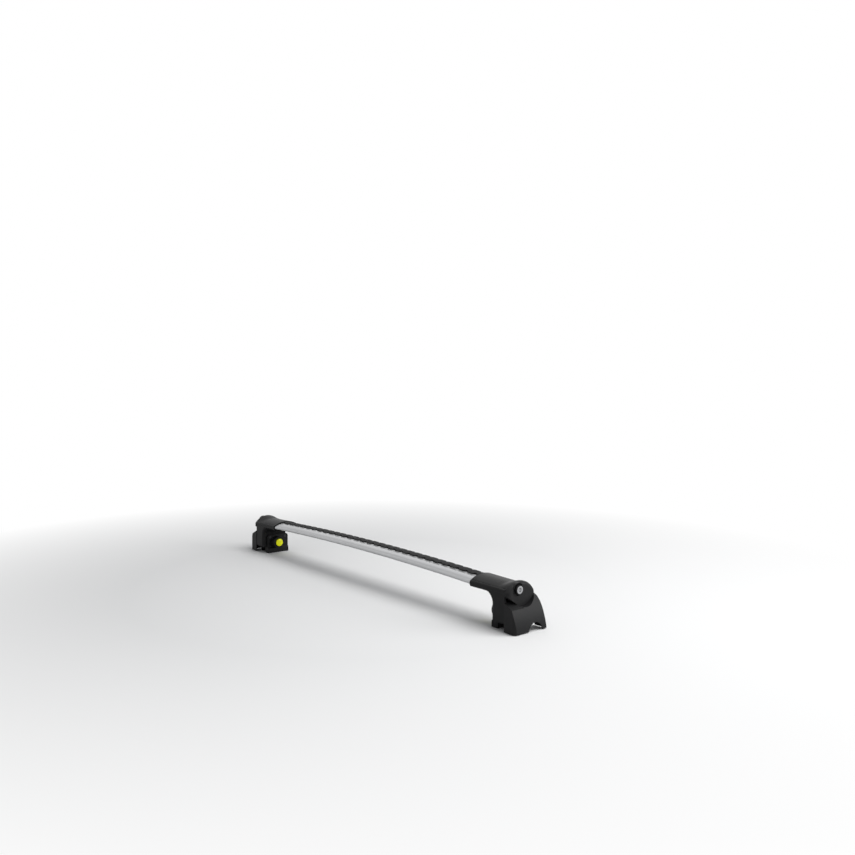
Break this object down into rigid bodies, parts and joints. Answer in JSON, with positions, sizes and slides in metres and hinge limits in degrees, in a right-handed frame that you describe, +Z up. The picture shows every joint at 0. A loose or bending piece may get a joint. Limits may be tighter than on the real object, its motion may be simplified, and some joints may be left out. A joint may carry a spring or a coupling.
{
  "type": "roof rack crossbar",
  "caption": "Bowed aluminium aero crossbar with a scalloped rubber strip and a lockable clamp foot at each end, for a flush side rail.",
  "frame": {"origin": "Middle of the whole rack in length and in depth, on the plane that the claws stand on", "axes": "+X along the bar to the foot that is nearer in the picture, +Y to the front of the vehicle, +Z up"},
  "size_m": [1.226, 0.104, 0.1182],
  "materials": {
    "bar_metal": "satin anodised",
    "strip_rubber": "matt, lightly ribbed",
    "black_plastic": "grained black moulding",
    "cap_plastic": "grained black moulding",
    "cover_plastic": "satin black moulding",
    "rubber": "soft black",
    "yellow_plastic": "bright yellow",
    "steel": "zinc plated",
    "lock_metal": "bright"
  },
  "bodies": {
    "rack": {"bar_extrusion": "bar_metal", "top_strip": "strip_rubber", "right_end_plug": "black_plastic", "right_foot_housing": "black_plastic", "right_anchor_block": "steel", "right_anchor_screws": "steel", "right_saddle_pad": "rubber", "right_inner_claw": "black_plastic", "right_inner_claw_pad": "rubber", "right_inner_claw_screws": "steel", "right_clamp_nut": "steel", "right_bolt_cap": "yellow_plastic", "right_lock_catch": "steel", "right_catch_screws": "steel", "left_end_plug": "black_plastic", "left_foot_housing": "black_plastic", "left_anchor_block": "steel", "left_anchor_screws": "steel", "left_saddle_pad": "rubber", "left_inner_claw": "black_plastic", "left_inner_claw_pad": "rubber", "left_inner_claw_screws": "steel", "left_clamp_nut": "steel", "left_bolt_cap": "yellow_plastic", "left_lock_catch": "steel", "left_catch_screws": "steel"},
    "right_claw": {"right_outer_claw": "black_plastic", "right_outer_claw_pad": "rubber", "right_clamp_washer": "steel"},
    "right_bolt": {"right_clamp_bolt": "steel"},
    "right_cover": {"right_end_cap": "cap_plastic", "right_lower_cover": "cover_plastic", "right_cover_screws": "steel", "right_lock_sleeve": "black_plastic"},
    "right_lock": {"right_lock_barrel": "lock_metal", "right_lock_cam": "steel", "right_cam_screw": "steel"},
    "left_claw": {"left_outer_claw": "black_plastic", "left_outer_claw_pad": "rubber", "left_clamp_washer": "steel"},
    "left_bolt": {"left_clamp_bolt": "steel"},
    "left_cover": {"left_end_cap": "cap_plastic", "left_lower_cover": "cover_plastic", "left_cover_screws": "steel", "left_lock_sleeve": "black_plastic"},
    "left_lock": {"left_lock_barrel": "lock_metal", "left_lock_cam": "steel", "left_cam_screw": "steel"}
  },
  "joints": [
    {"name": "right_clamp_slide", "type": "slide", "parent": "rack", "child": "right_claw", "axis": [1, 0, 0], "range_m": [0, 0.005]},
    {"name": "right_bolt_turn", "type": "hinge", "parent": "right_claw", "child": "right_bolt", "pos_m": [0.59, -0.00605, 0.035], "axis": [1, 0, 0], "range_deg": [0, 1440]},
    {"name": "right_cover_slide", "type": "slide", "parent": "rack", "child": "right_cover", "axis": [1, 0, 0], "range_m": [0, 0.06]},
    {"name": "right_lock_turn", "type": "hinge", "parent": "right_cover", "child": "right_lock", "pos_m": [0.59, -0.01955, 0.098], "axis": [-1, 0, 0], "range_deg": [0, 90]},
    {"name": "left_clamp_slide", "type": "slide", "parent": "rack", "child": "left_claw", "axis": [-1, 0, 0], "range_m": [0, 0.005]},
    {"name": "left_bolt_turn", "type": "hinge", "parent": "left_claw", "child": "left_bolt", "pos_m": [-0.59, -0.00605, 0.035], "axis": [-1, 0, 0], "range_deg": [0, 1440]},
    {"name": "left_cover_slide", "type": "slide", "parent": "rack", "child": "left_cover", "axis": [-1, 0, 0], "range_m": [0, 0.06]},
    {"name": "left_lock_turn", "type": "hinge", "parent": "left_cover", "child": "left_lock", "pos_m": [-0.59, -0.01955, 0.098], "axis": [-1, 0, 0], "range_deg": [0, 90]}
  ],
  "couplings": [
    {"joint": "right_bolt_turn", "follows": "right_clamp_slide", "rad_per_m": 5026.5},
    {"joint": "left_bolt_turn", "follows": "left_clamp_slide", "rad_per_m": 5026.5}
  ]
}
